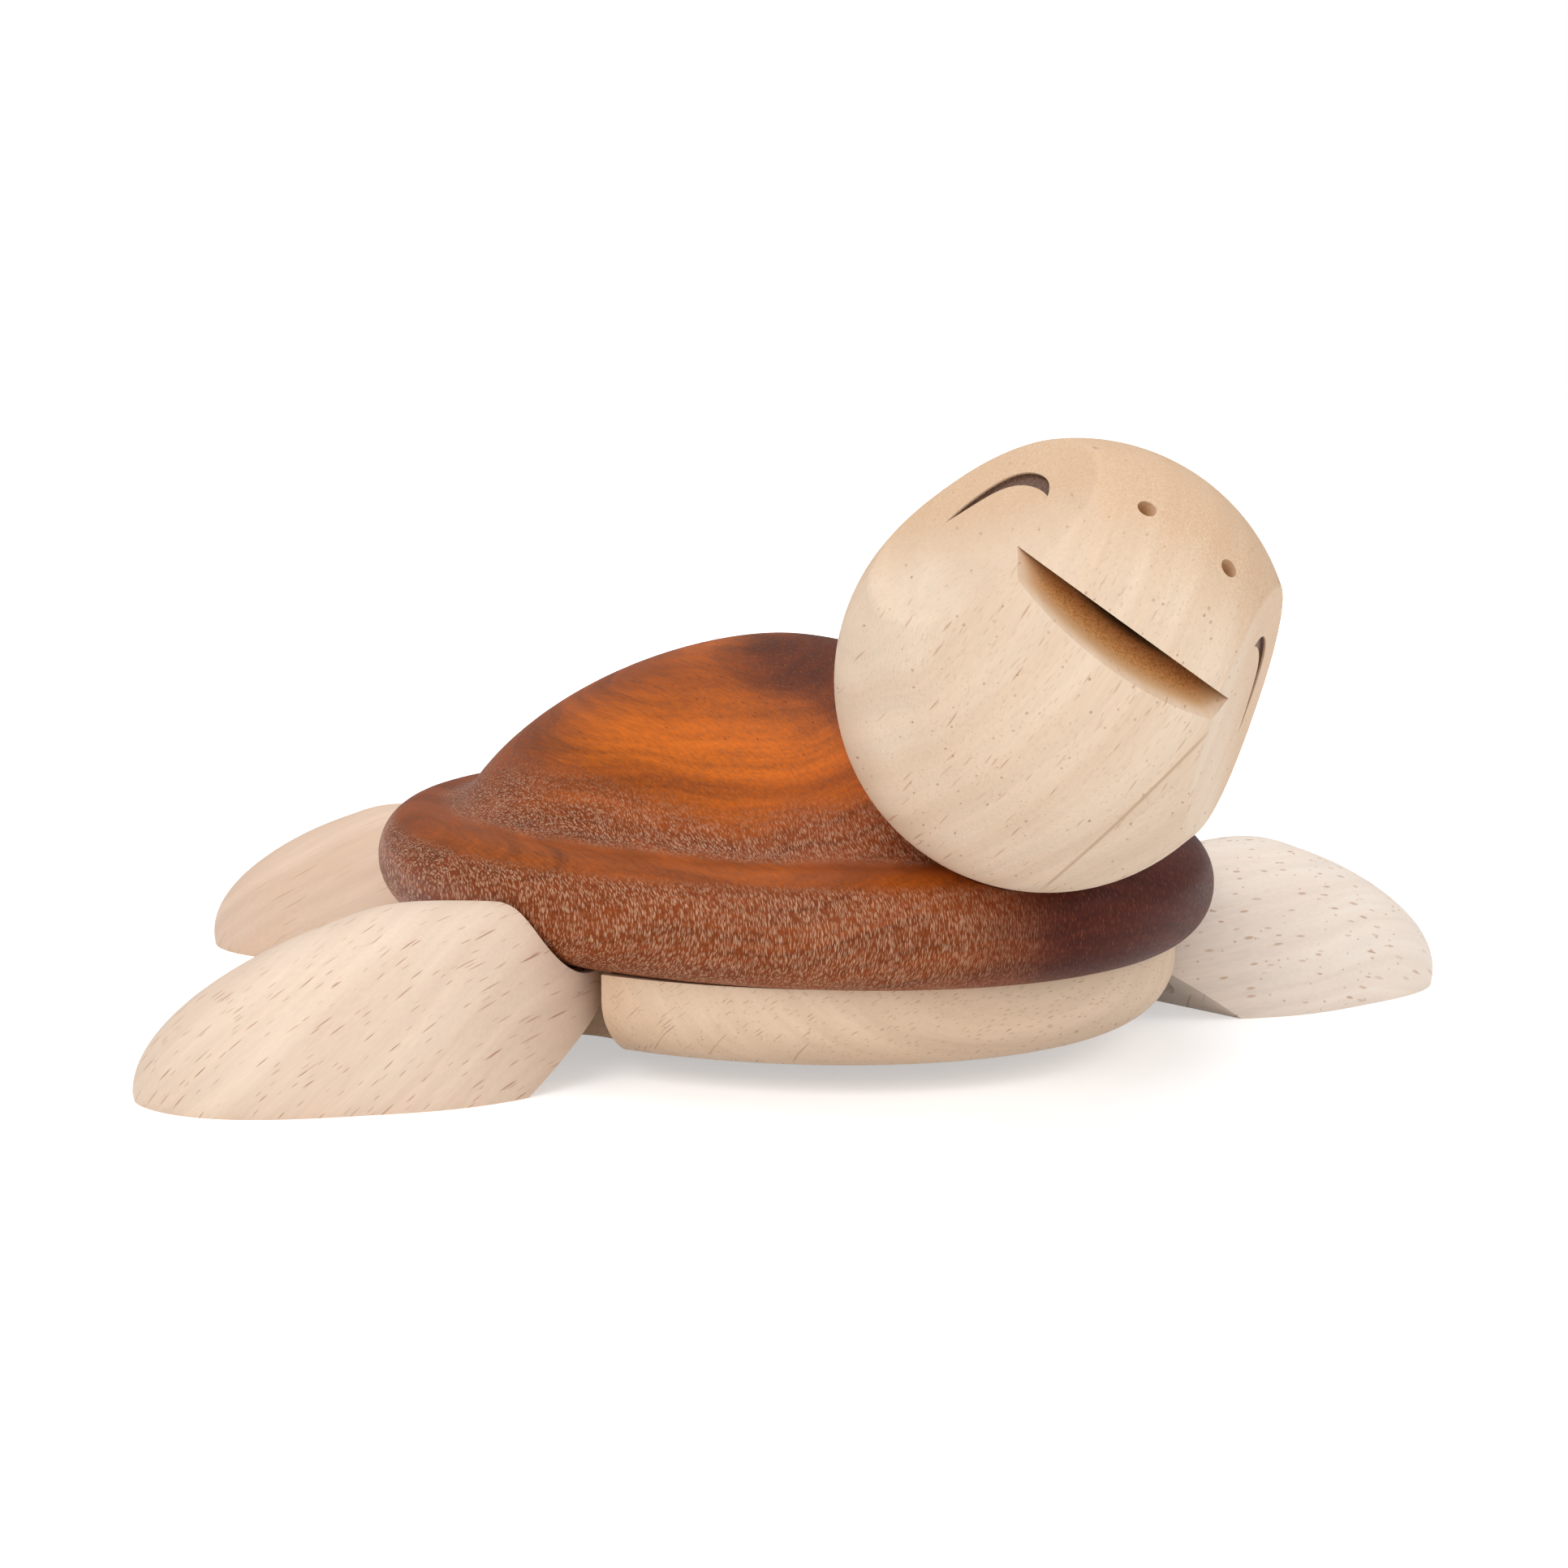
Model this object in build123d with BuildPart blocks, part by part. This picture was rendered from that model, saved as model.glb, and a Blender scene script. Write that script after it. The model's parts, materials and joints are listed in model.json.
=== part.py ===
from build123d import *
from dataclasses import dataclass
from math import acos, asin, atan2, cos, degrees, hypot, radians, sin, sqrt, tan
import os

os.makedirs("parts", exist_ok=True)

# Wooden turtle figurine. Lengths are in millimetres and angles in degrees.
# +Z is up, the head points along -Y and the turtle's left is +X.
# The origin is on the floor, under the middle of the whole figure.

# Shell: an oval board with a round rim, and a dome that rises from a valley inside the rim.
shell_length = 135.4
shell_width = 106.2
shell_middle_y = 0.25
shell_underside = 14.0
rim_thickness = 14.4
rim_flat = 0.2
dome_inset = 9.45
dome_rise = 30.9
dome_power = 1.684
dome_stations = 10
valley_radius = 6.0

# Plastron: the pale oval board under the shell, held by glued dowels.
plastron_end_inset = 7.8
plastron_side_inset = 3.3
plastron_underside = 3.4
plastron_edge_radius = 7.4
board_dowel_diameter = 8.0
board_dowel_length = 14.0
board_dowel_spacing = 56.0
dowel_end_room = 0.5

# Head: a turned ball stretched towards the snout, with two flat cheeks.
head_diameter = 50.0
head_stretch = 7.0
head_set_back = 1.0
head_seat_depth = 2.1
head_seat_clearance = 0.3
neck_elevation_angle = 30.5
head_tilt_angle = -42.6
cheek_turn_angle = 26.0
cheek_distance = 23.0
cheek_edge_radius = 1.4
neck_dowel_diameter = 8.0
neck_dowel_bite = 13.5
running_clearance = 0.05

# Face: a saw-cut mouth, two drilled nostrils and two shallow burnt eyes.
mouth_root_drop = 4.7
mouth_root_reach = 22.4
mouth_upper_slope_angle = 40.2
mouth_opening_angle = 25.6
nostril_diameter = 2.2
nostril_depth = 3.0
nostril_spacing = 11.3
nostril_rise = 3.2
eye_length = 15.0
eye_arch = 6.4
eye_tail_reach = -1.1
eye_tail_rise = 2.9
eye_depth = 0.6
eye_outer_shares = ((0.21, 0.68), (0.49, 1.02), (0.74, 0.88), (0.92, 0.53))
eye_inner_shares = ((0.78, 0.49), (0.48, 0.66), (0.18, 0.31))
eye_tip_share = 0.1

# Flippers: blunt almonds with a flat sole and a prow-shaped inner end, each turning on a screw.
front_length = 52.3
front_half_width = 15.8
front_height = 22.6
front_widest_reach = 19.0
front_sweep_angle = 11.0
front_place_angle = -22.0
rear_length = 47.6
rear_half_width = 15.6
rear_height = 22.4
rear_widest_reach = 15.8
rear_sweep_angle = 56.0
rear_place_angle = 63.5
pivot_inset = 5.3
swing_angle = 5.0
nose_reach = 5.9
nose_height = 10.8
tip_height = 1.2
prow_reach = 12.0
prow_slope_angle = 38.0
belly_share = 0.14
outer_width_power = 4.0
outer_width_root_power = 1.63
outer_height_power = 1.317
outer_height_root_power = 1.8
inner_width_power = 1.7
inner_width_root_power = 1.4
inner_height_power = 4.0
inner_height_root_power = 1.8
outer_station_shares = (0.22, 0.42, 0.6, 0.75, 0.87, 0.955)
inner_station_shares = (0.93, 0.78, 0.55, 0.28, 0.0)

# Pivot screws and the thin fibre washers that the flippers turn against.
screw_diameter = 3.0
screw_bite = 9.0
screw_head_diameter = 6.0
screw_head_height = 2.2
screw_recess = 8.6
screw_slot_width = 0.9
screw_slot_depth = 1.0
screw_head_room = 0.5
washer_diameter = 7.0
washer_thickness = 0.6
washer_room = 0.5
notch_clearance = 1.2

# Every cut runs this far past the face that it enters.
overrun = 1.0

shell_middle = Vector(0, shell_middle_y, 0)
rim_middle = shell_underside + rim_thickness / 2
rim_top = shell_underside + rim_thickness
rim_radius = (rim_thickness - rim_flat) / 2
dome_length_radius = shell_length / 2 - dome_inset
dome_width_radius = shell_width / 2 - dome_inset
pivot_length_radius = shell_length / 2 - pivot_inset
pivot_width_radius = shell_width / 2 - pivot_inset
plastron_length = shell_length - 2 * plastron_end_inset
plastron_width = shell_width - 2 * plastron_side_inset

# The head's own directions: snout, left ear and crown, after its tilt about the neck.
head_radius = head_diameter / 2
head_centre = shell_middle + Vector(
    0, head_set_back - shell_length / 2, rim_top + head_radius - head_seat_depth
)
snout = Vector(0, -cos(radians(neck_elevation_angle)), sin(radians(neck_elevation_angle)))
upright_left = Vector(1, 0, 0)
upright_crown = snout.cross(upright_left)
left = upright_left * cos(radians(head_tilt_angle)) + upright_crown * sin(radians(head_tilt_angle))
crown = upright_crown * cos(radians(head_tilt_angle)) - upright_left * sin(radians(head_tilt_angle))
neck_axis = Axis(head_centre, snout)
seat_radius = head_radius + head_seat_clearance
neck_radius = neck_dowel_diameter / 2
neck_angle = degrees(asin(neck_radius / seat_radius))


def dome_shares(angle):
    """Give the dome's spread and rise, as shares, at an angle of its rounded-off profile."""
    spread_share = cos(radians(angle)) ** (2 / dome_power)
    rise_share = sin(radians(angle)) ** (2 / dome_power)
    return spread_share, rise_share


def cheek_plane(side):
    """Give the plane of a cheek: X runs to the snout and Z points out of the cheek."""
    out = left * side * cos(radians(cheek_turn_angle)) + snout * sin(radians(cheek_turn_angle))
    to_snout = snout * cos(radians(cheek_turn_angle)) - left * side * sin(radians(cheek_turn_angle))
    return Plane(head_centre + out * cheek_distance, x_dir=to_snout, z_dir=out)


def mouth_edge(slope):
    """Give the outer end of a mouth wall, which leaves the root at a slope below the snout."""
    drop = mouth_root_drop + head_radius * sin(radians(slope))
    return (-drop, mouth_root_reach + head_radius * cos(radians(slope)))


def eye_point(shares, hand):
    """Give a point of an eye on its cheek's plane, from shares of the eye's length and arch."""
    return (eye_tail_reach + eye_length * shares[0], hand * (eye_tail_rise + eye_arch * shares[1]))


@dataclass(frozen=True)
class Blank:
    """A flipper before it is fitted: the pivot is at the origin and X runs to the tip."""

    length: float
    half_width: float
    height: float
    widest: float

    @property
    def inner_length(self):
        """The distance from the nose to the widest section."""
        return self.widest + nose_reach

    def inner_width(self, share):
        """Give the half width inside the widest section, at a share of the way to the nose."""
        return self.half_width * (1 - share**inner_width_power) ** (1 / inner_width_root_power)

    def width_at_pivot(self):
        """Give the half width at the pivot."""
        return self.inner_width(self.widest / self.inner_length)

    def spread(self):
        """Give the angle at which two lines from round the pivot clear the flipper's sides."""
        angles = []
        for share in inner_station_shares:
            reach = self.widest - share * self.inner_length
            width = self.inner_width(share)
            if reach > 0:
                slack = acos(min(1, self.width_at_pivot() / hypot(reach, width)))
                angles.append(degrees(slack - atan2(reach, width)))
        return max(angles)

    def section(self, reach, width, end_height, fullness):
        """Make one upright ellipse, which shrinks towards a height at the flipper's end."""
        top = end_height + (self.height - end_height) * fullness
        bottom = end_height - (end_height + self.height * (1 - 2 * belly_share)) * fullness
        origin = Vector(reach, 0, (top + bottom) / 2)
        rise = (top - bottom) / 2
        with BuildSketch(Plane(origin, x_dir=(0, 0, -1), z_dir=(1, 0, 0))) as ellipse:
            with BuildLine():
                EllipticalCenterArc((0, 0), rise, width, 0, arc_size=180)
                EllipticalCenterArc((0, 0), rise, width, 180, arc_size=180)
            make_face()
        return ellipse.sketch

    def inner_section(self, share):
        """Make the ellipse at a share of the way from the widest section to the nose."""
        fullness = (1 - share**inner_height_power) ** (1 / inner_height_root_power)
        reach = self.widest - share * self.inner_length
        return self.section(reach, self.inner_width(share), nose_height, fullness)

    def outer_section(self, share):
        """Make the ellipse at a share of the way from the widest section to the tip."""
        fullness = (1 - share**outer_height_power) ** (1 / outer_height_root_power)
        width = self.half_width * (1 - share**outer_width_power) ** (1 / outer_width_root_power)
        reach = self.widest + share * (self.length - self.widest)
        return self.section(reach, width, tip_height, fullness)

    def sections(self):
        """Make all that the flipper is lofted through, from nose to tip."""
        return [
            Vertex(-nose_reach, 0, nose_height),
            *[self.inner_section(share) for share in inner_station_shares],
            *[self.outer_section(share) for share in outer_station_shares],
            Vertex(self.length, 0, tip_height),
        ]

    def ground(self):
        """Give the outline of what is cut from under the flipper: the sole and the prow."""
        tip = self.length + overrun
        nose = -nose_reach - overrun
        foot = prow_reach - nose_reach
        return (
            (tip, 0),
            (foot, 0),
            (nose, (foot - nose) * tan(radians(prow_slope_angle))),
            (nose, -self.height),
            (tip, -self.height),
        )

    def shape(self):
        """Loft the flipper and cut it flat underneath."""
        with BuildPart() as shape:
            loft(sections=self.sections())
            with BuildSketch(Plane.XZ):
                Polygon(*self.ground(), align=None)
            extrude(amount=self.half_width + overrun, both=True, mode=Mode.SUBTRACT)
        return shape.part


@dataclass(frozen=True)
class Flipper:
    """One flipper's place round the shell and its direction."""

    name: str
    side: int
    place: float
    sweep: float
    blank: Blank

    @property
    def pivot(self):
        """The pivot on the floor, inside the rim at an angle round the shell's oval."""
        across = pivot_width_radius * cos(radians(self.place))
        along = pivot_length_radius * sin(radians(self.place))
        return shell_middle + Vector(self.side * across, along, 0)

    @property
    def outward(self):
        """The level direction from the pivot straight out through the rim."""
        across = cos(radians(self.place)) / pivot_width_radius
        along = sin(radians(self.place)) / pivot_length_radius
        return Vector(self.side * across, along, 0).normalized()

    @property
    def ground_plane(self):
        """The floor at the pivot, where X runs to the tip."""
        axis = Vector(self.side * cos(radians(self.sweep)), sin(radians(self.sweep)), 0)
        return Plane(self.pivot, x_dir=axis, z_dir=(0, 0, 1))

    @property
    def rim_plane(self):
        """The upright plane through the pivot, where X runs out through the rim and Y runs up."""
        return Plane(self.pivot, x_dir=self.outward, z_dir=self.outward.cross(Vector(0, 0, 1)))


front_blank = Blank(front_length, front_half_width, front_height, front_widest_reach)
rear_blank = Blank(rear_length, rear_half_width, rear_height, rear_widest_reach)
flippers = (
    Flipper("front_left", 1, front_place_angle, front_sweep_angle, front_blank),
    Flipper("front_right", -1, front_place_angle, front_sweep_angle, front_blank),
    Flipper("rear_left", 1, rear_place_angle, rear_sweep_angle, rear_blank),
    Flipper("rear_right", -1, rear_place_angle, rear_sweep_angle, rear_blank),
)
cheeks = (cheek_plane(1), cheek_plane(-1))
nostril_ring = hypot(nostril_spacing / 2, nostril_rise)
nostril_bottom = head_stretch + sqrt(head_radius**2 - nostril_ring**2) - nostril_depth
board_dowels = {"front": -board_dowel_spacing / 2, "rear": board_dowel_spacing / 2}
board_dowel_radius = board_dowel_diameter / 2
board_dowel_half = board_dowel_length / 2
screw_radius = screw_diameter / 2

# A straight cove in each flipper clears the round rim by the washer's thickness.
flipper_land = shell_underside - washer_thickness
cove_radius = rim_middle - flipper_land
cove_middle = pivot_inset + washer_thickness - cove_radius

# Dome, lofted through level ovals that close at its top.
dome_sections = []
for step in range(dome_stations):
    spread_share, rise_share = dome_shares(90 * step / dome_stations)
    with BuildSketch(Plane(shell_middle + Vector(0, 0, rim_middle + dome_rise * rise_share))) as oval:
        Ellipse(dome_width_radius * spread_share, dome_length_radius * spread_share)
    dome_sections.append(oval.sketch)
dome_sections.append(Vertex(*(shell_middle + Vector(0, 0, rim_middle + dome_rise))))
with BuildPart() as dome:
    loft(sections=dome_sections)

# Carapace: rim board and dome in one block, with the head's seat and the holes for its pins.
with BuildPart() as carapace:
    with BuildSketch(Plane(shell_middle + Vector(0, 0, shell_underside))):
        Ellipse(shell_width / 2, shell_length / 2)
    extrude(amount=rim_thickness)
    add(dome.part)
    fillet(carapace.faces().sort_by(Axis.Z)[-1].outer_wire().edges(), radius=valley_radius)
    fillet(carapace.edges().filter_by(GeomType.ELLIPSE), radius=rim_radius)
    with BuildSketch(Plane(head_centre, x_dir=left, z_dir=-crown)):
        with BuildLine():
            CenterArc((0, 0), seat_radius, neck_angle - 90, 180 - neck_angle)
            Polyline(
                (0, seat_radius),
                (0, -seat_radius - neck_dowel_bite - dowel_end_room),
                (neck_radius, -seat_radius - neck_dowel_bite - dowel_end_room),
                (neck_radius, -seat_radius * cos(radians(neck_angle))),
            )
        make_face()
    revolve(axis=neck_axis, mode=Mode.SUBTRACT)
    with BuildSketch(Plane(shell_middle + Vector(0, 0, shell_underside))):
        with Locations(*[(0, place) for place in board_dowels.values()]):
            Circle(board_dowel_radius)
    extrude(amount=board_dowel_half + dowel_end_room, mode=Mode.SUBTRACT)
    with BuildSketch(Plane.XY.offset(shell_underside)):
        with Locations(*[flipper.pivot for flipper in flippers]):
            Circle(screw_radius)
    extrude(amount=screw_bite + dowel_end_room, mode=Mode.SUBTRACT)
carapace.part.label = "carapace"
export_step(carapace.part, "parts/carapace.step")

# Plastron: a rounded board with a notch round each flipper's inner end.
with BuildPart() as plastron:
    with BuildSketch(Plane(shell_middle + Vector(0, 0, plastron_underside))):
        Ellipse(plastron_width / 2, plastron_length / 2)
    extrude(amount=shell_underside - plastron_underside)
    fillet(plastron.edges().sort_by(Axis.Z)[0], radius=plastron_edge_radius)
    for flipper in flippers:
        radius = flipper.blank.width_at_pivot() + notch_clearance
        opening = flipper.blank.spread() + swing_angle
        back = -radius * sin(radians(opening))
        half = radius * cos(radians(opening))
        mouth = half + plastron_width * sin(radians(opening))
        front = back + plastron_width * cos(radians(opening))
        with BuildSketch(flipper.ground_plane):
            Circle(radius)
            Polygon((back, -half), (front, -mouth), (front, mouth), (back, half), align=None)
        extrude(amount=shell_underside + overrun, mode=Mode.SUBTRACT)
    with BuildSketch(Plane(shell_middle + Vector(0, 0, shell_underside))):
        with Locations(*[(0, place) for place in board_dowels.values()]):
            Circle(board_dowel_radius)
    extrude(amount=-board_dowel_half - dowel_end_room, mode=Mode.SUBTRACT)
plastron.part.label = "plastron"
export_step(plastron.part, "parts/plastron.step")

# Dowels that pin the plastron under the carapace.
for name, place in board_dowels.items():
    base = shell_middle + Vector(0, place, shell_underside - board_dowel_half)
    with BuildPart() as board_dowel:
        with BuildSketch(Plane(base)):
            Circle(board_dowel_radius)
        extrude(amount=board_dowel_length)
    board_dowel.part.label = f"plastron_dowel_{name}"
    export_step(board_dowel.part, f"parts/plastron_dowel_{name}.step")

# Head: the stretched ball, its cheeks, mouth, nostrils and eyes, and the bore for its dowel.
with BuildPart() as head:
    with BuildSketch(Plane(head_centre, x_dir=left, z_dir=-crown)):
        with BuildLine():
            CenterArc((0, 0), head_radius, -90, 90)
            Line((head_radius, 0), (head_radius, head_stretch))
            CenterArc((0, head_stretch), head_radius, 0, 90)
            Line((0, head_stretch + head_radius), (0, -head_radius))
        make_face()
    revolve(axis=neck_axis)
    for cheek in cheeks:
        split(bisect_by=cheek, keep=Keep.BOTTOM)
    fillet(head.faces().filter_by(GeomType.PLANE).edges(), radius=cheek_edge_radius)
    with BuildSketch(Plane(head_centre, x_dir=crown, z_dir=left)):
        Polygon(
            (-mouth_root_drop, mouth_root_reach),
            mouth_edge(mouth_upper_slope_angle),
            mouth_edge(mouth_upper_slope_angle + mouth_opening_angle),
            align=None,
        )
    extrude(amount=head_radius + overrun, both=True, mode=Mode.SUBTRACT)
    with BuildSketch(Plane(head_centre + snout * nostril_bottom, x_dir=left, z_dir=snout)):
        with Locations((-nostril_spacing / 2, nostril_rise), (nostril_spacing / 2, nostril_rise)):
            Circle(nostril_diameter / 2)
    extrude(amount=head_radius, mode=Mode.SUBTRACT)
    for cheek, hand in zip(cheeks, (-1, 1)):
        outer = [eye_point(share, hand) for share in eye_outer_shares]
        inner = [eye_point(share, hand) for share in eye_inner_shares]
        tail = eye_point((0, 0), hand)
        tip = eye_point((1, eye_tip_share), hand)
        with BuildSketch(cheek.offset(-eye_depth)):
            with BuildLine():
                Spline(tail, *outer, tip)
                Spline(tip, *inner, tail)
            make_face()
        extrude(amount=eye_depth + overrun, mode=Mode.SUBTRACT)
    with BuildSketch(Plane(head_centre - snout * (head_radius + overrun), z_dir=snout)):
        Circle(neck_radius + running_clearance)
    extrude(amount=overrun + neck_dowel_bite + dowel_end_room, mode=Mode.SUBTRACT)
head.part.label = "head"
export_step(head.part, "parts/head.step")

# Neck dowel: glued into the carapace, and the head turns on its other end.
with BuildPart() as neck_dowel:
    with BuildSketch(Plane(head_centre - snout * (head_radius - neck_dowel_bite), z_dir=-snout)):
        Circle(neck_radius)
    extrude(amount=neck_dowel_bite + head_seat_clearance + neck_dowel_bite)
neck_dowel.part.label = "neck_dowel"
export_step(neck_dowel.part, "parts/neck_dowel.step")

# Each flipper with its screw and washer.
shapes = {blank: blank.shape() for blank in (front_blank, rear_blank)}
for flipper in flippers:
    blank = flipper.blank
    with BuildPart() as blade:
        with Locations(flipper.ground_plane):
            add(shapes[blank])
        with BuildSketch(flipper.rim_plane):
            with BuildLine():
                CenterArc((cove_middle, rim_middle), cove_radius, -90, 90)
                Polyline(
                    (cove_middle + cove_radius, rim_middle),
                    (cove_middle + cove_radius, blank.height + overrun),
                    (-blank.length, blank.height + overrun),
                    (-blank.length, rim_middle - cove_radius),
                    (cove_middle, rim_middle - cove_radius),
                )
            make_face()
        extrude(amount=blank.length, both=True, mode=Mode.SUBTRACT)
        with BuildSketch(Plane(flipper.pivot)):
            Circle(screw_head_diameter / 2 + screw_head_room)
        extrude(amount=screw_recess, mode=Mode.SUBTRACT)
        with BuildSketch(Plane(flipper.pivot)):
            Circle(screw_radius + running_clearance)
        extrude(amount=shell_underside, mode=Mode.SUBTRACT)
        with BuildSketch(Plane(flipper.pivot + Vector(0, 0, flipper_land))):
            Circle(washer_diameter / 2 + washer_room)
        extrude(amount=rim_thickness, mode=Mode.SUBTRACT)
    blade.part.label = f"flipper_{flipper.name}"
    export_step(blade.part, f"parts/flipper_{flipper.name}.step")

    with BuildPart() as screw:
        with BuildSketch(Plane(flipper.pivot + Vector(0, 0, screw_recess))):
            Circle(screw_radius)
        extrude(amount=shell_underside - screw_recess + screw_bite)
        with BuildSketch(Plane(flipper.pivot + Vector(0, 0, screw_recess))):
            Circle(screw_head_diameter / 2)
        extrude(amount=-screw_head_height)
        with BuildSketch(Plane(flipper.pivot + Vector(0, 0, screw_recess - screw_head_height))):
            Rectangle(screw_head_diameter + overrun, screw_slot_width)
        extrude(amount=screw_slot_depth, mode=Mode.SUBTRACT)
    screw.part.label = f"pivot_screw_{flipper.name}"
    export_step(screw.part, f"parts/pivot_screw_{flipper.name}.step")

    with BuildPart() as washer:
        with BuildSketch(Plane(flipper.pivot + Vector(0, 0, flipper_land))):
            Circle(washer_diameter / 2)
            Circle(screw_radius + running_clearance, mode=Mode.SUBTRACT)
        extrude(amount=washer_thickness)
    washer.part.label = f"pivot_washer_{flipper.name}"
    export_step(washer.part, f"parts/pivot_washer_{flipper.name}.step")
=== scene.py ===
"""Dresses the wooden turtle figurine: woods, burnt face marks, hardware, studio and camera."""

import json
import logging
import math
from dataclasses import dataclass, field
from enum import Enum
from typing import Optional, Union

import bmesh
import bpy
from mathutils import Matrix, Vector


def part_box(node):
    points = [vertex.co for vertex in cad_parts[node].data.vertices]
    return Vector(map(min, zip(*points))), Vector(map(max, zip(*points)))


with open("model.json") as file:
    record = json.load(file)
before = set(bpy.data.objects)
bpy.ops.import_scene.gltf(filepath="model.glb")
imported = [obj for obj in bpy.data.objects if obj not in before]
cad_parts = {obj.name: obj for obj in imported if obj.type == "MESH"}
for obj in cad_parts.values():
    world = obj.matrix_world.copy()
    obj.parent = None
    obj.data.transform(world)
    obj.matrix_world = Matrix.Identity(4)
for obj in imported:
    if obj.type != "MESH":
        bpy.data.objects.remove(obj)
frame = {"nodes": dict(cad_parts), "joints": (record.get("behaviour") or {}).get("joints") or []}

log = logging.getLogger("turtle")

MM = 0.001
NOISE_MIDDLE = 0.5
WHITE = (1.0, 1.0, 1.0, 1.0)
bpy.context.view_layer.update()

Colour = tuple[float, float, float]
Triple = tuple[float, float, float]
Span = tuple[float, float]
Socket = bpy.types.NodeSocket
Value = Union[Socket, float, tuple]


def srgb(code: str) -> Colour:
    """Turn a six-digit colour code into linear light, by the sRGB standard's own curve.

    Args:
        code: Hexadecimal red, green and blue.

    Returns:
        The three linear components.
    """
    parts = [int(code[place : place + 2], 16) / 255 for place in (0, 2, 4)]
    return tuple(part / 12.92 if part <= 0.04045 else ((part + 0.055) / 1.055) ** 2.4 for part in parts)


class Layout(Enum):
    """How a wood's pores lie: right through it, or drawn out on its sawn face."""

    THROUGH = "3D"
    FACE = "2D"


class Tree:
    """A thin layer over a shader node tree that places and links nodes."""

    def __init__(self, tree: bpy.types.NodeTree) -> None:
        """Keep the tree that nodes go into."""
        self.tree = tree

    def node(self, kind: str, **settings: object) -> bpy.types.Node:
        """Place a node and set its own properties.

        Args:
            kind: The node's type name without the ShaderNode prefix.
            settings: Property names and values.

        Returns:
            The new node.
        """
        made = self.tree.nodes.new(f"ShaderNode{kind}")
        for name, value in settings.items():
            setattr(made, name, value)
        return made

    def feed(self, socket: Socket, value: Value) -> None:
        """Link a socket, or set its constant.

        Args:
            socket: The input to feed.
            value: Another node's output, or a constant.
        """
        if isinstance(value, bpy.types.NodeSocket):
            self.tree.links.new(value, socket)
        else:
            socket.default_value = value

    def group(self, shared: bpy.types.NodeTree, given: dict[str, Value]) -> bpy.types.Node:
        """Place a shared effect and feed its inputs.

        Args:
            shared: The effect's node group.
            given: Input names and values.

        Returns:
            The new node.
        """
        made = self.node("Group", node_tree=shared)
        for label, value in given.items():
            self.feed(made.inputs[label], value)
        return made

    def sum(self, kind: str, first: Value, second: Value = 0.0, third: Value = 0.0) -> Socket:
        """Place a Math node.

        Args:
            kind: The operation.
            first: The first value.
            second: The second value.
            third: The third value.

        Returns:
            The result.
        """
        made = self.node("Math", operation=kind)
        for socket, value in zip(made.inputs, (first, second, third)):
            self.feed(socket, value)
        return made.outputs[0]

    def vector(self, kind: str, first: Value, second: Value = (0.0, 0.0, 0.0)) -> bpy.types.Node:
        """Place a Vector Math node.

        Args:
            kind: The operation.
            first: The first vector.
            second: The second vector.

        Returns:
            The node, because the result is a vector or a value.
        """
        made = self.node("VectorMath", operation=kind)
        self.feed(made.inputs[0], first)
        self.feed(made.inputs[1], second)
        return made

    def scaled(self, place: Value, factors: Triple) -> Socket:
        """Stretch a place by a factor along each axis."""
        return self.vector("MULTIPLY", place, factors).outputs[0]

    def length(self, place: Socket) -> Socket:
        """Measure how far a place is from the origin."""
        return self.vector("LENGTH", place).outputs["Value"]

    def along(self, place: Socket, direction: Triple) -> Socket:
        """Measure how far a place lies along a direction."""
        return self.vector("DOT_PRODUCT", place, direction).outputs["Value"]

    def offset(self, centre: Triple) -> Socket:
        """Measure Object coordinates from a centre.

        Args:
            centre: Where they start, in metres.

        Returns:
            The place, in millimetres.
        """
        where = self.node("TexCoord")
        moved = self.vector("SUBTRACT", where.outputs["Object"], centre).outputs[0]
        return self.scaled(moved, (1 / MM, 1 / MM, 1 / MM))

    def split(self, place: Socket) -> tuple[Socket, Socket, Socket]:
        """Take a place apart.

        Args:
            place: The place.

        Returns:
            Its X, Y and Z.
        """
        made = self.node("SeparateXYZ")
        self.feed(made.inputs[0], place)
        return tuple(made.outputs)

    def join(self, *parts: Value) -> Socket:
        """Make a place from its parts.

        Args:
            parts: Its X, Y and Z.

        Returns:
            The place.
        """
        made = self.node("CombineXYZ")
        for socket, part in zip(made.inputs, parts):
            self.feed(socket, part)
        return made.outputs[0]

    def span(self, value: Value, low: Value, high: Value, start: Value = 0.0, end: Value = 1.0) -> Socket:
        """Map a value smoothly from one range to another.

        Args:
            value: What is mapped.
            low: Where the result starts.
            high: Where the result ends.
            start: The result up to low.
            end: The result from high.

        Returns:
            The mapped value.
        """
        made = self.node("MapRange", interpolation_type="SMOOTHSTEP")
        for socket, part in zip(made.inputs, (value, low, high, start, end)):
            self.feed(socket, part)
        return made.outputs[0]

    def band(self, value: Value, middle: float, edge: Span, strength: float = 1.0) -> Socket:
        """Mark where a value is close to a middle.

        Args:
            value: What is compared.
            middle: Where the mark is full.
            edge: How far from the middle the mark starts to fade, and ends.
            strength: The full mark.

        Returns:
            The mark, from 0 to its strength.
        """
        away = self.sum("ABSOLUTE", self.sum("SUBTRACT", value, middle))
        return self.span(away, *edge, strength, 0.0)

    def blend(self, share: Value, first: Value, second: Value, kind: str = "MIX") -> Socket:
        """Mix two colours.

        Args:
            share: How much of the second colour shows.
            first: The first colour.
            second: The second colour.
            kind: The blend type.

        Returns:
            The mixed colour.
        """
        made = self.node("Mix", data_type="RGBA", blend_type=kind)
        self.feed(made.inputs[0], share)
        for socket, value in zip(made.inputs[6:8], (first, second)):
            self.feed(socket, (*value, 1.0) if isinstance(value, tuple) else value)
        return made.outputs[2]

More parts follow.
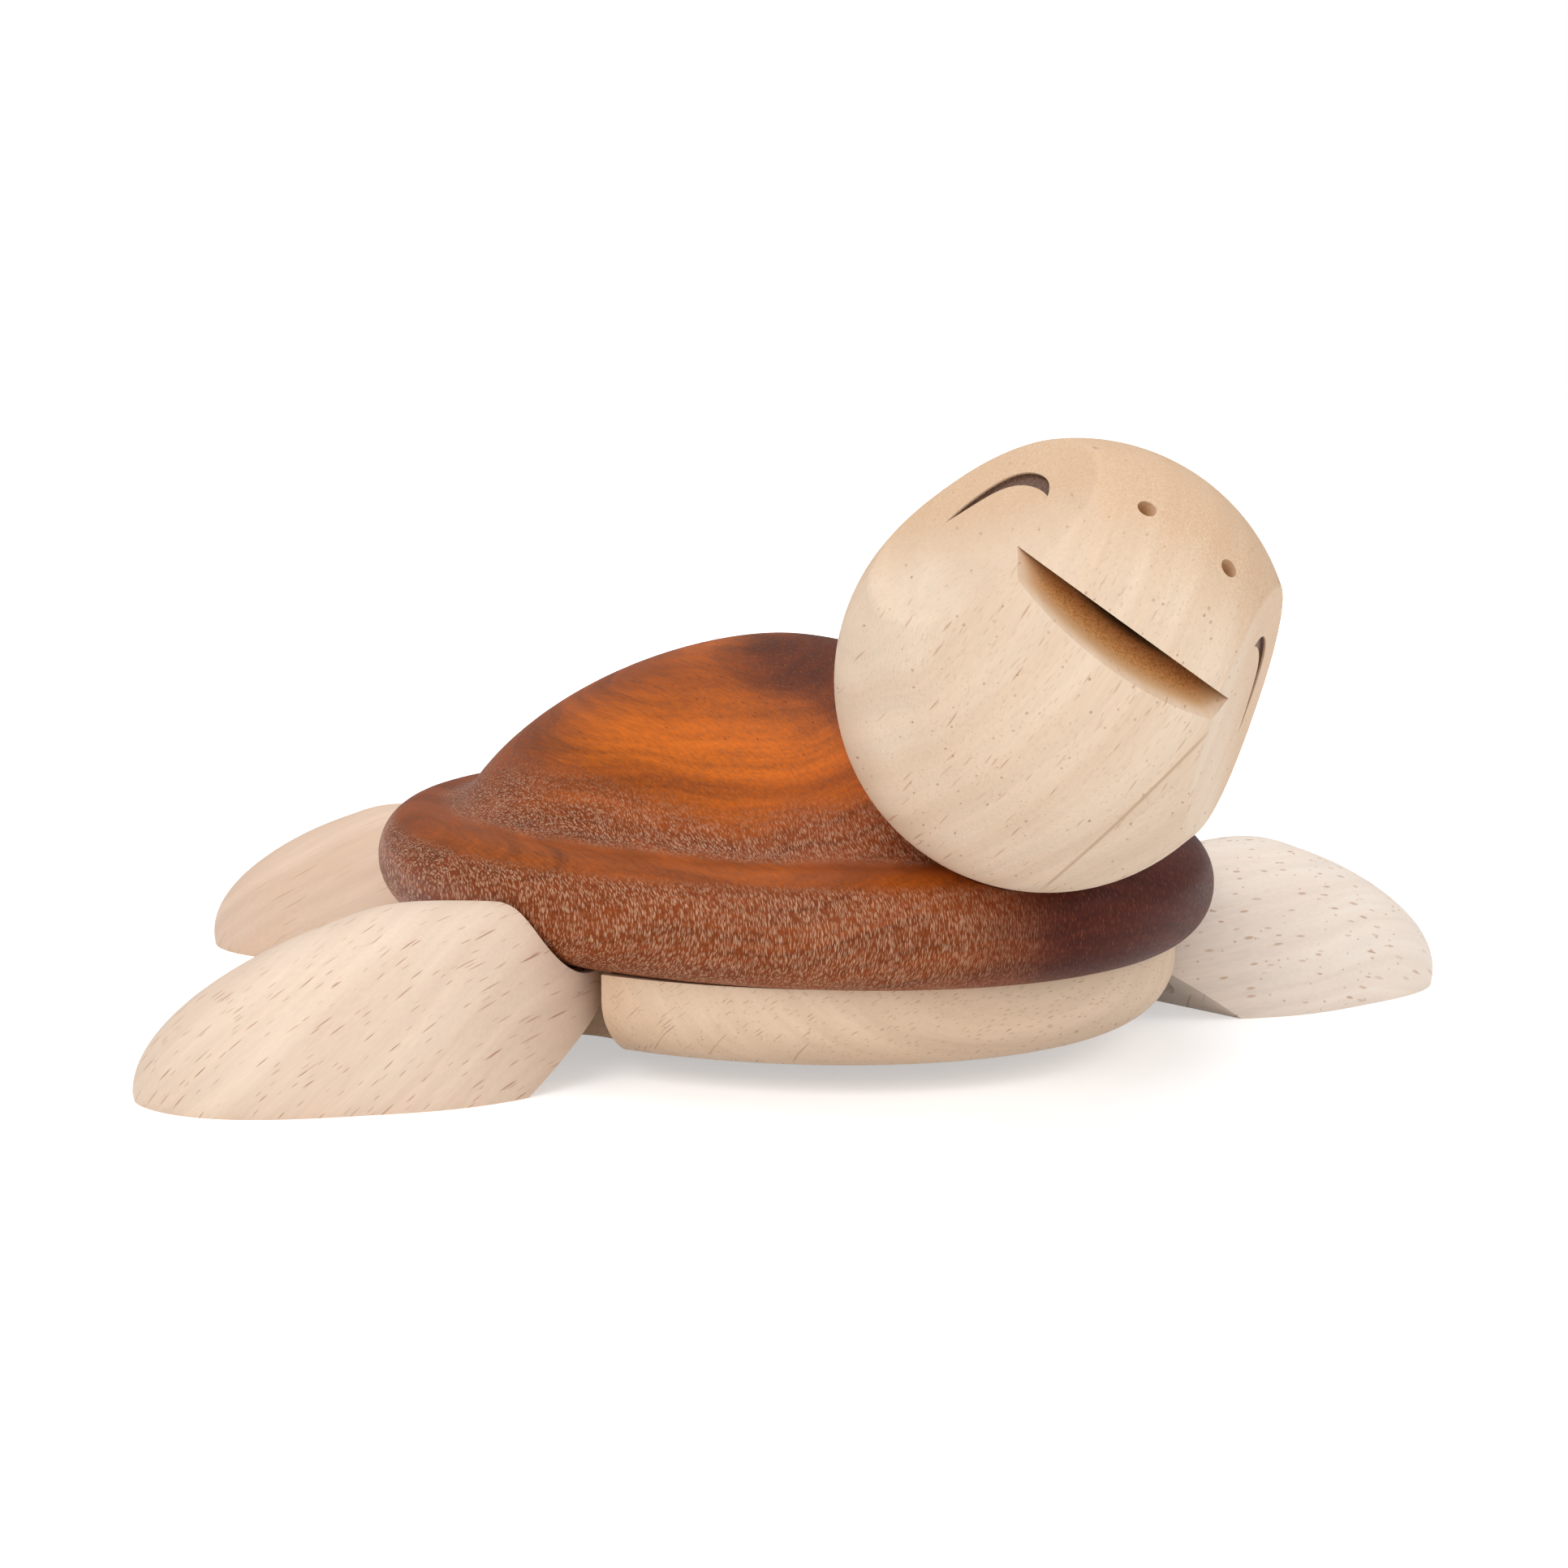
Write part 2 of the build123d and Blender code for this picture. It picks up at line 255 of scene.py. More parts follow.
    def noise(self, place: Value, scale: float, detail: float = 2.0, roughness: float = 0.5) -> Socket:
        """Place a three-dimensional noise.

        Args:
            place: Where it is read.
            scale: How many features fit in a unit.
            detail: How many finer layers it has.
            roughness: How strong the finer layers are.

        Returns:
            The noise value, near 0.5 on average.
        """
        made = self.node("TexNoise")
        self.feed(made.inputs["Vector"], place)
        made.inputs["Scale"].default_value = scale
        made.inputs["Detail"].default_value = detail
        made.inputs["Roughness"].default_value = roughness
        return made.outputs["Fac"]

    def relief(self, shader: bpy.types.Node, height: Value, strength: float, depth: float) -> None:
        """Give a shader's surface fine relief.

        Args:
            shader: The shader.
            height: How high each place is.
            strength: How much the relief shows.
            depth: What a height of 1 stands for, in millimetres.
        """
        bump = self.node("Bump")
        bump.inputs["Strength"].default_value = strength
        bump.inputs["Distance"].default_value = depth * MM
        self.feed(bump.inputs["Height"], height)
        self.feed(shader.inputs["Normal"], bump.outputs["Normal"])


def new_group(name: str, inputs: dict[str, str], outputs: dict[str, str]) -> tuple[Tree, dict, dict]:
    """Start a shader node group.

    Args:
        name: The group's name.
        inputs: Input names and their kinds.
        outputs: Output names and their kinds.

    Returns:
        The group's tree, its input values by name and its output sockets by name.
    """
    group = bpy.data.node_groups.new(name, "ShaderNodeTree")
    for label, kind in inputs.items():
        group.interface.new_socket(label, in_out="INPUT", socket_type=f"NodeSocket{kind}")
    for label, kind in outputs.items():
        group.interface.new_socket(label, in_out="OUTPUT", socket_type=f"NodeSocket{kind}")
    entry = group.nodes.new("NodeGroupInput")
    leave = group.nodes.new("NodeGroupOutput")
    return (
        Tree(group),
        {label: entry.outputs[label] for label in inputs},
        {label: leave.inputs[label] for label in outputs},
    )


def new_material(name: str) -> tuple[bpy.types.Material, Tree, bpy.types.Node]:
    """Start a material.

    Args:
        name: The material's name.

    Returns:
        The material, its tree and its shader.
    """
    made = bpy.data.materials.new(name)
    made.use_nodes = True
    return made, Tree(made.node_tree), made.node_tree.nodes["Principled BSDF"]


@dataclass(frozen=True)
class GrowthFigure:
    """Rings, fibres, streaks along the rings and slow clouds: features to a millimetre, and their stretch."""

    sway_scale: float = 0.035
    cloud_scale: float = 0.06
    cloud_stretch: float = 0.3
    ring_power: float = 1.8
    ring_peak: float = 0.72
    fibre_scale: float = 2.6
    fibre_stretch: float = 0.045
    streak_scale: float = 0.7
    streak_across: float = 0.08
    streak_along: float = 0.03

    def group(self) -> bpy.types.NodeTree:
        """Make the node group.

        Returns:
            The group. Its place is in millimetres, with the grain along Z and the pith on the Z axis.
        """
        tree, given, out = new_group(
            "growth_figure",
            {"Place": "Vector", "Ring spacing": "Float", "Waviness": "Float"},
            {"Rings": "Float", "Fibres": "Float", "Streaks": "Float", "Clouds": "Float"},
        )
        place = given["Place"]
        slow = tree.scaled(place, (1.0, 1.0, self.cloud_stretch))
        sway = tree.sum("SUBTRACT", tree.noise(slow, self.sway_scale), NOISE_MIDDLE)
        from_pith = tree.length(tree.scaled(place, (1.0, 1.0, 0.0)))
        radius = tree.sum("MULTIPLY_ADD", sway, given["Waviness"], from_pith)
        turn = tree.sum("FRACT", tree.sum("DIVIDE", radius, given["Ring spacing"]))
        late = tree.sum("POWER", turn, self.ring_power)
        tree.feed(out["Rings"], tree.sum("MULTIPLY", late, tree.span(turn, self.ring_peak, 1.0, 1.0, 0.0)))
        thin = tree.scaled(place, (1.0, 1.0, self.fibre_stretch))
        tree.feed(out["Fibres"], tree.noise(thin, self.fibre_scale, detail=4.0, roughness=0.65))
        across, _, along = tree.split(place)
        across = tree.sum("MULTIPLY", across, self.streak_across)
        along = tree.sum("MULTIPLY", along, self.streak_along)
        layer = tree.join(radius, across, along)
        tree.feed(out["Streaks"], tree.noise(layer, self.streak_scale, detail=5.0, roughness=0.62))
        tree.feed(out["Clouds"], tree.noise(slow, self.cloud_scale, detail=3.0, roughness=0.55))
        return tree.tree


@dataclass(frozen=True)
class PoreCells:
    """Pores and flecks: slim cells of mixed sizes and depths, which the surface cuts."""

    layout: Layout
    bend_scale: float = 0.06
    bend_reach: float = 2.0
    sizes: Span = (0.7, 1.3)
    depths: Span = (0.35, 1.0)
    core: float = 0.4

    def pick(self, tree: Tree, lot: Socket, ends: Span) -> Socket:
        """Pick a value between two ends by a cell's lot."""
        return tree.sum("MULTIPLY_ADD", lot, ends[1] - ends[0], ends[0])

    def group(self) -> bpy.types.NodeTree:
        """Make the node group.

        Returns:
            The group. Its place is in millimetres: X across, Y into the wood and Z along the grain.
        """
        tree, given, out = new_group(
            f"pore_marks_{self.layout.name.lower()}",
            {"Place": "Vector", "Spacing": "Vector", "Size": "Float", "Share": "Float"},
            {"Mask": "Float"},
        )
        bend = tree.node("TexNoise")
        tree.feed(bend.inputs["Vector"], given["Place"])
        bend.inputs["Scale"].default_value = self.bend_scale
        aside = tree.scaled(bend.outputs["Color"], (self.bend_reach, self.bend_reach, 0.0))
        bent = tree.vector("ADD", given["Place"], aside).outputs[0]
        across, into, along = tree.split(tree.vector("DIVIDE", bent, given["Spacing"]).outputs[0])
        cells = tree.node("TexVoronoi", voronoi_dimensions=self.layout.value, feature="F1")
        tree.feed(cells.inputs["Vector"], tree.join(across, along, into))
        cells.inputs["Scale"].default_value = 1.0
        lots = tree.node("SeparateColor")
        tree.feed(lots.inputs[0], cells.outputs["Color"])
        keep_lot, depth_lot, size_lot = lots.outputs
        kept = tree.sum("LESS_THAN", keep_lot, given["Share"])
        size = tree.sum("MULTIPLY", given["Size"], self.pick(tree, size_lot, self.sizes))
        core = tree.sum("MULTIPLY", size, self.core)
        tube = tree.span(cells.outputs["Distance"], core, size, 1.0, 0.0)
        depth = self.pick(tree, depth_lot, self.depths)
        tree.feed(out["Mask"], tree.sum("MULTIPLY", tree.sum("MULTIPLY", tube, kept), depth))
        return tree.tree


class WoodGroups:
    """The wood effects that every wood shares."""

    def __init__(self) -> None:
        """Build each effect once."""
        self.growth = GrowthFigure().group()
        self.pores = {layout: PoreCells(layout).group() for layout in Layout}


@dataclass(frozen=True)
class Reach:
    """A slow change along a direction, between two distances in millimetres from the centre."""

    direction: Triple
    low: float
    high: float
    drift: float = 24.0

    def share(self, tree: Tree, centre: Triple, clouds: Socket) -> Socket:
        """Build the change, broken up by a slow noise.

        Args:
            tree: The material's nodes.
            centre: Where distances start.
            clouds: The slow noise.

        Returns:
            A value that goes from 0 to 1.
        """
        ahead = Vector(self.direction).normalized()
        far = tree.along(tree.offset(centre), tuple(ahead))
        sway = tree.sum("SUBTRACT", clouds, NOISE_MIDDLE)
        return tree.span(tree.sum("MULTIPLY_ADD", sway, self.drift, far), self.low, self.high)


@dataclass(frozen=True)
class ShellSlope:
    """Where the oval shell is steep: on the side of its rim and low on its dome."""

    half: Triple
    dome_inset: float = 9.45
    dome_start: Span = (0.8, 0.92)
    dome_end: Span = (0.94, 1.01)
    rim_edge: Span = (0.945, 0.976)
    rim_heights: Span = (8.0, 11.0)
    drift: float = 0.24

    def oval(self, tree: Tree, offset: Socket, inset: float) -> Socket:
        """Measure a place against the shell's oval, drawn in by an inset.

        Args:
            tree: The material's nodes.
            offset: The place, in millimetres from the shell's centre.
            inset: How far the oval is drawn in, in millimetres.

        Returns:
            A value that is 1 on the oval.
        """
        width, length, _ = self.half
        return tree.length(tree.scaled(offset, (1 / (width - inset), 1 / (length - inset), 0.0)))

    def share(self, tree: Tree, centre: Triple, clouds: Socket) -> Socket:
        """Build the steepness, broken up on the dome by a slow noise.

        Args:
            tree: The material's nodes.
            centre: The middle of the shell's box.
            clouds: The slow noise.

        Returns:
            A value that goes from 0 on level places to 1 on steep ones.
        """
        offset = tree.offset(centre)
        sway = tree.sum("SUBTRACT", clouds, NOISE_MIDDLE)
        dome = tree.sum("MULTIPLY_ADD", sway, self.drift, self.oval(tree, offset, self.dome_inset))
        outside = tree.span(dome, *self.dome_start)
        inside = tree.span(dome, *self.dome_end, 1.0, 0.0)
        low_dome = tree.sum("MULTIPLY", outside, inside)
        _, _, rise = tree.split(offset)
        height = tree.sum("ADD", rise, self.half[2])
        under = tree.span(height, *self.rim_heights, 1.0, 0.0)
        side = tree.span(self.oval(tree, offset, 0.0), *self.rim_edge)
        return tree.sum("MAXIMUM", low_dome, tree.sum("MAXIMUM", side, under))


@dataclass(frozen=True)
class Tint:
    """A colour that the wood turns to along a direction or on slopes."""

    reach: Union[Reach, ShellSlope]
    colour: Colour
    strength: float


@dataclass(frozen=True)
class Pores:
    """One kind of pore or fleck: its spacing across, into and along the wood in millimetres."""

    spacing: Triple
    size: float
    share: float
    colour: Colour
    strength: float
    layout: Layout = Layout.THROUGH
    reach: Optional[Union[Reach, ShellSlope]] = None
    fade: Optional[Reach] = None


@dataclass(frozen=True)
class Wood:
    """A sanded wood with rings, fibres and pores, laid out along its own grain."""

    name: str
    grain: Triple
    facing: Triple
    centre: Triple
    pith: Span
    early: Colour
    late: Colour
    cloud: Colour
    ring_spacing: float
    waviness: float
    ring_strength: float
    cloud_strength: float
    fibre_strength: float
    streak_strength: float
    pores: tuple[Pores, ...]
    roughness: Span = (0.5, 0.62)
    relief: float = 0.25
    specular: float = 0.4
    tints: tuple[Tint, ...] = ()
    cloud_edges: Span = (0.38, 0.66)
    fibre_edges: Span = (0.3, 0.7)
    fibre_height: float = 0.35
    pore_depth: float = 0.1

    def place(self, tree: Tree) -> Socket:
        """Lay millimetre coordinates on the sawn blank: Z along the grain and Y out of its face.

        Args:
            tree: The material's nodes.

        Returns:
            The coordinates.
        """
        along = Vector(self.grain).normalized()
        across = Vector(self.facing).cross(along).normalized()
        turn = Matrix((across, along.cross(across), along))
        shift = Vector((*self.pith, 0.0)) - turn @ (Vector(self.centre) / MM)
        where = tree.node("TexCoord")
        lay = tree.node("Mapping", vector_type="POINT")
        tree.feed(lay.inputs["Vector"], where.outputs["Object"])
        lay.inputs["Location"].default_value = shift
        lay.inputs["Rotation"].default_value = turn.to_euler()
        lay.inputs["Scale"].default_value = (1 / MM, 1 / MM, 1 / MM)
        return lay.outputs["Vector"]

    def tone(self, tree: Tree, figure: bpy.types.Node) -> Socket:
        """Build the wood's colour before its pores.

        Args:
            tree: The material's nodes.
            figure: The growth figure.

        Returns:
            The colour.
        """
        rings = tree.sum("MULTIPLY", figure.outputs["Rings"], self.ring_strength)
        colour = tree.blend(rings, self.early, self.late)
        clouds = tree.span(figure.outputs["Clouds"], *self.cloud_edges, 0.0, self.cloud_strength)
        colour = tree.blend(clouds, colour, self.cloud)
        for tint in self.tints:
            turned = tint.reach.share(tree, self.centre, figure.outputs["Clouds"])
            colour = tree.blend(tree.sum("MULTIPLY", turned, tint.strength), colour, tint.colour)
        level: Value = 1.0
        for effect, strength in (("Fibres", self.fibre_strength), ("Streaks", self.streak_strength)):
            shade = tree.sum("SUBTRACT", figure.outputs[effect], NOISE_MIDDLE)
            level = tree.sum("MULTIPLY_ADD", shade, strength, level)
        grey = tree.node("CombineColor")
        for socket in grey.inputs:
            tree.feed(socket, level)
        return tree.blend(1.0, colour, grey.outputs[0], "MULTIPLY")

    def mark(self, tree: Tree, pores: Pores, cells: Socket, clouds: Socket) -> Socket:
        """Build where one kind of pore shows.

        Args:
            tree: The material's nodes.
            pores: The kind of pore.
            cells: Its cells.
            clouds: The slow noise.

        Returns:
            The mask.
        """
        mask = tree.sum("MULTIPLY", cells, pores.strength)
        if pores.reach:
            mask = tree.sum("MULTIPLY", mask, pores.reach.share(tree, self.centre, clouds))
        if pores.fade:
            hidden = pores.fade.share(tree, self.centre, clouds)
            mask = tree.sum("MULTIPLY", mask, tree.sum("SUBTRACT", 1.0, hidden))
        return mask

    def paint(self, tree: Tree, groups: WoodGroups) -> tuple[Socket, Value, Socket]:
        """Build the wood's colour, pores and fibres.

        Args:
            tree: The material's nodes.
            groups: The shared wood effects.

        Returns:
            The colour, the pore mask and the fibre value.
        """
        place = self.place(tree)
        growth = {"Place": place, "Ring spacing": self.ring_spacing, "Waviness": self.waviness}
        figure = tree.group(groups.growth, growth)
        colour = self.tone(tree, figure)
        deepest: Value = 0.0
        for pores in self.pores:
            given = {"Place": place, "Spacing": pores.spacing, "Size": pores.size, "Share": pores.share}
            cells = tree.group(groups.pores[pores.layout], given).outputs["Mask"]
            mask = self.mark(tree, pores, cells, figure.outputs["Clouds"])
            colour = tree.blend(mask, colour, pores.colour)
            deepest = tree.sum("MAXIMUM", deepest, mask)
        return colour, deepest, figure.outputs["Fibres"]

    def material(self, groups: WoodGroups) -> bpy.types.Material:
        """Make the wood's satin material.

        Args:
            groups: The shared wood effects.

        Returns:
            The material.
        """
        made, tree, shader = new_material(self.name)
        colour, pores, fibres = self.paint(tree, groups)
        tree.feed(shader.inputs["Base Color"], colour)
        tree.feed(shader.inputs["Roughness"], tree.span(fibres, *self.fibre_edges, *self.roughness))
        shader.inputs["Specular IOR Level"].default_value = self.specular
        height = tree.sum("MULTIPLY_ADD", fibres, self.fibre_height, 1.0)
        tree.relief(shader, tree.sum("SUBTRACT", height, pores), self.relief, self.pore_depth)
        return made


@dataclass(frozen=True)
class HeadPlace:
    """A place on the head in millimetres: its offset, its distances along and under the head, its speckle."""

    offset: Socket
    rise: Socket
    reach: Socket
    under_cheek: Socket
    depth: Socket
    speckle: Socket


@dataclass(frozen=True)
class FaceWood(Wood):
    """The head's wood, with a scorched mouth that has painted shade at its root, drilled nostrils and burnt
    eyes.
    """

    snout: Triple = (0.0, -1.0, 0.0)
    left: Triple = (1.0, 0.0, 0.0)
    crown: Triple = (0.0, 0.0, 1.0)
    radius: float = 25.0
    stretch: float = 7.0
    cheek_turn: float = 26.0
    cheek_distance: float = 23.0
    speckle_scale: float = 3.2
    tan: Colour = srgb("DDB48C")
    tan_rise: Span = (-8.0, 6.0)
    tan_speckle: Span = (0.3, 0.7)
    tan_strength: Span = (0.4, 0.95)
    lip: Colour = srgb("E4C096")
    scorch: Colour = srgb("E6B478")
    char: Colour = srgb("BE874C")
    char_speckle: Span = (0.42, 0.62)
    # Painted shade: the dark colour laid at the mouth's root, where the cut is deepest.
    shadow: Colour = srgb("6E4420")
    mouth_reach: Span = (8.0, 14.0)
    mouth_depth: Span = (0.25, 2.2)
    lip_depth: Span = (1.2, 4.5)
    root_depth: Span = (6.6, 8.9)
    line: Colour = srgb("BE9870")
    line_normal: Triple = (0.58, -0.43, -0.69)
    line_distance: float = 16.5
    line_edge: Span = (0.06, 0.28)
    line_strength: float = 0.6
    line_rise: Span = (-14.0, -10.0)
    line_reach: Span = (-8.0, -2.0)
    burn: Colour = srgb("5E3E30")
    burn_speckle: Span = (0.35, 0.65)
    burn_strength: Span = (0.86, 1.0)
    eye_rise: float = 6.5
    eye_height: Span = (4.8, 5.4)
    eye_reach: float = 16.0
    eye_length: Span = (8.5, 9.5)
    eye_depth_start: Span = (0.12, 0.3)
    eye_depth_end: Span = (0.8, 1.0)

    def locate(self, tree: Tree) -> HeadPlace:
        """Measure a place on the head.

        Args:
            tree: The material's nodes.

        Returns:
            The place. Its depth is 0 on the outside of the ball and its cheeks, and more inside the mouth.
        """
        offset = tree.offset(self.centre)
        across, rise, reach = (tree.along(offset, axis) for axis in (self.left, self.crown, self.snout))
        middle = tree.sum("MINIMUM", tree.sum("MAXIMUM", reach, 0.0), self.stretch)
        beyond = tree.sum("SUBTRACT", reach, middle)
        under_ball = tree.sum("SUBTRACT", self.radius, tree.length(tree.join(across, rise, beyond)))
        turn = math.radians(self.cheek_turn)
        wide = tree.sum("MULTIPLY", tree.sum("ABSOLUTE", across), math.cos(turn))
        out = tree.sum("MULTIPLY_ADD", reach, math.sin(turn), wide)
        under_cheek = tree.sum("SUBTRACT", self.cheek_distance, out)
        depth = tree.sum("MINIMUM", under_ball, under_cheek)
        speckle = tree.noise(offset, self.speckle_scale, detail=3.0, roughness=0.7)
        return HeadPlace(offset, rise, reach, under_cheek, depth, speckle)

    def brown_brow(self, tree: Tree, at: HeadPlace, colour: Socket) -> Socket:
        """Turn the upper face, which is end grain, a little browner.

        Args:
            tree: The material's nodes.
            at: The place on the head.
            colour: The colour so far.

        Returns:
            The new colour.
        """
        upper = tree.span(at.rise, *self.tan_rise)
        stipple = tree.span(at.speckle, *self.tan_speckle, *self.tan_strength)
        return tree.blend(tree.sum("MULTIPLY", upper, stipple), colour, self.tan)

    def scorch_mouth(self, tree: Tree, at: HeadPlace, colour: Socket) -> Socket:
        """Scorch the mouth, more towards its root, and paint shade at the root itself, where the cut is
        deepest.

        Args:
            tree: The material's nodes.
            at: The place on the head.
            colour: The colour so far.

        Returns:
            The new colour.
        """
        wall = tree.blend(tree.span(at.speckle, *self.char_speckle), self.scorch, self.char)
        wall = tree.blend(tree.span(at.depth, *self.lip_depth), self.lip, wall)
        ahead = tree.span(at.reach, *self.mouth_reach)
        # The first pass is the scorched wall; the second is painted shade, a dark colour standing for the
        # shadow at the mouth's root.
        for depth, shade in ((self.mouth_depth, wall), (self.root_depth, self.shadow)):
            inside = tree.sum("MULTIPLY", tree.span(at.depth, *depth), ahead)
            colour = tree.blend(inside, colour, shade)
        return colour

    def draw_line(self, tree: Tree, at: HeadPlace, colour: Socket) -> Socket:
        """Draw the dark growth line that runs down the front of the ball, under the mouth.

        Args:
            tree: The material's nodes.
            at: The place on the head.
            colour: The colour so far.

        Returns:
            The new colour.
        """
        beside = tree.along(at.offset, self.line_normal)
        drawn = tree.band(beside, self.line_distance, self.line_edge, self.line_strength)
        low = tree.span(at.rise, *self.line_rise, 1.0, 0.0)
        front = tree.span(at.reach, *self.line_reach)
        share = tree.sum("MULTIPLY", drawn, tree.sum("MULTIPLY", low, front))
        return tree.blend(share, colour, self.line)

    def burn_eyes(self, tree: Tree, at: HeadPlace, colour: Socket) -> Socket:
        """Burn the eyes, which are the only shallow cuts in the middle of a cheek.

        Args:
            tree: The material's nodes.
            at: The place on the head.
            colour: The colour so far.

        Returns:
            The new colour.
        """
        share = tree.span(at.speckle, *self.burn_speckle, *self.burn_strength)
        bounds = (
            tree.band(at.rise, self.eye_rise, self.eye_height),
            tree.band(at.reach, self.eye_reach, self.eye_length),
            tree.span(at.under_cheek, *self.eye_depth_start),
            tree.span(at.under_cheek, *self.eye_depth_end, 1.0, 0.0),
        )
        for bound in bounds:
            share = tree.sum("MULTIPLY", share, bound)
        return tree.blend(share, colour, self.burn)

    def paint(self, tree: Tree, groups: WoodGroups) -> tuple[Socket, Value, Socket]:
        """Build the wood's colour, with the face on it, its pores and its fibres.

        Args:
            tree: The material's nodes.
            groups: The shared wood effects.

        Returns:
            The colour, the pore mask and the fibre value.
        """
        colour, pores, fibres = super().paint(tree, groups)
        at = self.locate(tree)
        for step in (self.brown_brow, self.scorch_mouth, self.draw_line, self.burn_eyes):
            colour = step(tree, at, colour)
        return colour, pores, fibres


@dataclass(frozen=True)
class PlainFinish:
    """A small part's finish: a base colour with fine mottling and brushed relief."""

    name: str
    light: Colour
    dark: Colour
    metallic: float
    roughness: Span
    grain: float
    colour_edges: Span = (0.35, 0.65)
    gloss_edges: Span = (0.3, 0.7)
    relief: float = 0.2
    relief_depth: float = 0.02

    def material(self) -> bpy.types.Material:
        """Make the finish's material.

        Returns:
            The material.
        """
        made, tree, shader = new_material(self.name)
        where = tree.node("TexCoord")
        mottle = tree.noise(where.outputs["Object"], self.grain / MM, detail=4.0, roughness=0.6)
        colour = tree.blend(tree.span(mottle, *self.colour_edges), self.light, self.dark)
        tree.feed(shader.inputs["Base Color"], colour)
        tree.feed(shader.inputs["Roughness"], tree.span(mottle, *self.gloss_edges, *self.roughness))
        shader.inputs["Metallic"].default_value = self.metallic
        tree.relief(shader, mottle, self.relief, self.relief_depth)
        return made


def dress(node: str, material: bpy.types.Material) -> None:
    """Give a carried-over node its material.

    Args:
        node: The node's name.
        material: The material.
    """
    mesh = frame["nodes"][node].data
    mesh.materials.clear()
    mesh.materials.append(material)
    log.info("%s wears %s", node, material.name)


def middle_of(node: str) -> Triple:
    """Give the middle of a node's box."""
    low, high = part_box(node)
    return tuple((low + high) / 2)


@dataclass
class Shell:
    """The dark carapace and the pale board under it, with their dowels."""

    groups: WoodGroups
    neck_grain: Triple = (0.0, -0.86, 0.51)
    upright: Triple = (0.0, 0.0, 1.0)

    def carapace_wood(self) -> Wood:
        """Describe the carapace's wood: orange on top, dark at one end and flecked where it is steep.

        Returns:
            The wood.
        """
        low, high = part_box("carapace")
        steep = ShellSlope(tuple((high - low) / (2 * MM)))
        crest = Reach((0.0, 0.0, 1.0), -2.0, 8.0)
        # Darker towards the shell's left front end, and the pale flecks fade out there.
        dark_end = Reach((0.86, -0.5, 0.0), 19.0, 38.0, 12.0)
        lower_half = Reach((0.0, 0.0, -1.0), -4.0, 4.0, 10.0)
        rear = Reach((-0.3, 0.8, 0.3), 2.0, 26.0)
        summit = Reach((0.12, -0.25, 0.96), 13.0, 20.0, 16.0)
        flecks = Pores((0.11, 0.8, 0.7), 0.62, 0.9, srgb("DCB090"), 0.76, reach=steep, fade=dark_end)
        sparks = Pores((0.12, 0.7, 0.8), 0.5, 0.5, srgb("BC7A4A"), 0.3)
        vessels = Pores((0.5, 0.5, 5.0), 0.24, 0.55, srgb("3A160A"), 0.7, reach=crest)
        return Wood(
            name="dark_oiled_wood",
            grain=(0.06, 1.0, 0.03),
            facing=self.upright,
            centre=middle_of("carapace"),
            pith=(10.0, 150.0),
            early=srgb("C4610D"),
            late=srgb("74300C"),
            cloud=srgb("96480E"),
            ring_spacing=8.5,
            waviness=12.0,
            ring_strength=0.8,
            cloud_strength=0.45,
            fibre_strength=1.2,
            streak_strength=1.7,
            pores=(vessels, sparks, flecks),
            roughness=(0.42, 0.56),
            relief=0.3,
            specular=0.12,
            tints=(
                Tint(steep, srgb("70301A"), 0.82),
                Tint(lower_half, srgb("8A431A"), 0.5),
                Tint(dark_end, srgb("4A1C16"), 0.95),
                Tint(rear, srgb("7A3A18"), 0.6),
                Tint(summit, srgb("4E1A0A"), 0.85),
            ),
        )

    def board_wood(self) -> Wood:
        """Describe the plastron's straw-coloured wood, which is browner at its right end.

        Returns:
            The wood.
        """
        right_end = Reach((-1.0, 0.0, 0.0), 26.0, 48.0)
        return Wood(
            name="straw_wood",
            grain=(1.0, 0.15, 0.12),
            facing=(0.0, -0.8, 0.6),
            centre=middle_of("plastron"),
            pith=(6.0, 90.0),
            early=srgb("F2D6BA"),
            late=srgb("DDBC9A"),
            cloud=srgb("E5C8AA"),
            ring_spacing=4.6,
            waviness=9.0,
            ring_strength=0.35,
            cloud_strength=0.5,
            fibre_strength=0.16,
            streak_strength=0.3,
            pores=(
                Pores((0.45, 9.0, 2.2), 0.17, 0.5, srgb("A98460"), 0.6, Layout.FACE),
                Pores((0.3, 0.6, 1.4), 0.4, 0.5, srgb("C29D78"), 0.5),
            ),
            tints=(Tint(right_end, srgb("CFA982"), 0.5),),
        )

    def dowel_wood(self, node: str, grain: Triple) -> Wood:
        """Describe a dowel's wood.

        Args:
            node: The dowel's node.
            grain: The direction of the grain.

        Returns:
            The wood.
        """
        return Wood(
            name=f"{node}_wood",
            grain=grain,
            facing=(1.0, 0.0, 0.0),
            centre=middle_of(node),
            pith=(2.0, 9.0),
            early=srgb("E8CFAB"),
            late=srgb("D2AE80"),
            cloud=srgb("DCC09A"),
            ring_spacing=1.6,
            waviness=2.0,
            ring_strength=0.5,
            cloud_strength=0.3,
            fibre_strength=0.15,
            streak_strength=0.3,
            pores=(Pores((0.6, 0.6, 5.0), 0.22, 0.4, srgb("B68E62"), 0.5),),
            roughness=(0.55, 0.65),
        )

    def dress(self) -> None:
        """Dress the carapace, the plastron and the dowels."""
        woods = {
            "carapace": self.carapace_wood(),
            "plastron": self.board_wood(),
            "neck_dowel": self.dowel_wood("neck_dowel", self.neck_grain),
        }
        for node in ("plastron_dowel_front", "plastron_dowel_rear"):
            woods[node] = self.dowel_wood(node, self.upright)
        for node, wood in woods.items():
            dress(node, wood.material(self.groups))


